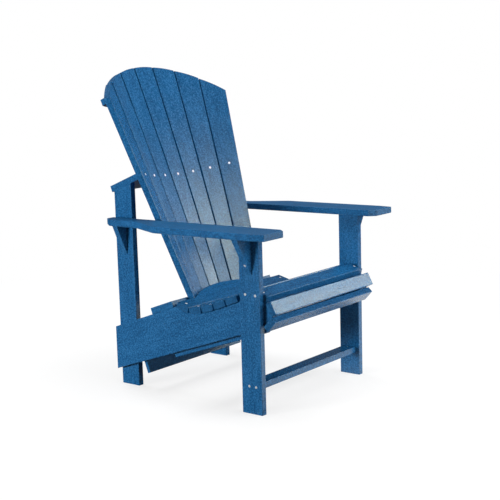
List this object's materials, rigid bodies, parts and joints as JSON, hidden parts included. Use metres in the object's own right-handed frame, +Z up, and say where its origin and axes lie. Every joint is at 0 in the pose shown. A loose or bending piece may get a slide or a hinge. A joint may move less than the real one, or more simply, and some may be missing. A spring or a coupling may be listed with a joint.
{
  "type": "adirondack chair",
  "caption": "High-backed outdoor armchair of plastic lumber boards, with a fanned round-topped slat back, a sloping seat with a rolled front edge and broad flat arms.",
  "frame": {"origin": "on the floor, under the middle of the chair's bounding box", "axes": "+Z up, -Y the way the chair faces, +X to the right of a viewer who stands in front of it"},
  "size_m": [0.8448, 0.925, 1.2297],
  "materials": {
    "lumber": "satin blue plastic lumber with fine grain and mottling",
    "screw_steel": "stainless, satin"
  },
  "bodies": {
    "root": {"arm_left": "lumber", "arm_right": "lumber", "back_screws": "screw_steel", "back_slat_1": "lumber", "back_slat_2": "lumber", "back_slat_3": "lumber", "back_slat_4": "lumber", "back_slat_5": "lumber", "back_slat_6": "lumber", "back_slat_7": "lumber", "bracket_screws": "screw_steel", "front_arm_bracket_left": "lumber", "front_arm_bracket_right": "lumber", "front_leg_left": "lumber", "front_leg_right": "lumber", "front_stretcher": "lumber", "leg_screws": "screw_steel", "lower_back_support": "lumber", "middle_back_support": "lumber", "rear_arm_bracket_left": "lumber", "rear_arm_bracket_right": "lumber", "rear_leg_left": "lumber", "rear_leg_right": "lumber", "rear_seat_board": "lumber", "seat_cross_rail": "lumber", "seat_front_board": "lumber", "seat_nose_lower": "lumber", "seat_nose_upper": "lumber", "seat_rail_left": "lumber", "seat_rail_right": "lumber", "seat_screws": "screw_steel", "seat_slat_1": "lumber", "seat_slat_2": "lumber", "seat_slat_3": "lumber", "seat_slat_4": "lumber", "seat_slat_5": "lumber", "stringer_left": "lumber", "stringer_right": "lumber", "upper_back_support": "lumber"}
  },
  "joints": []
}
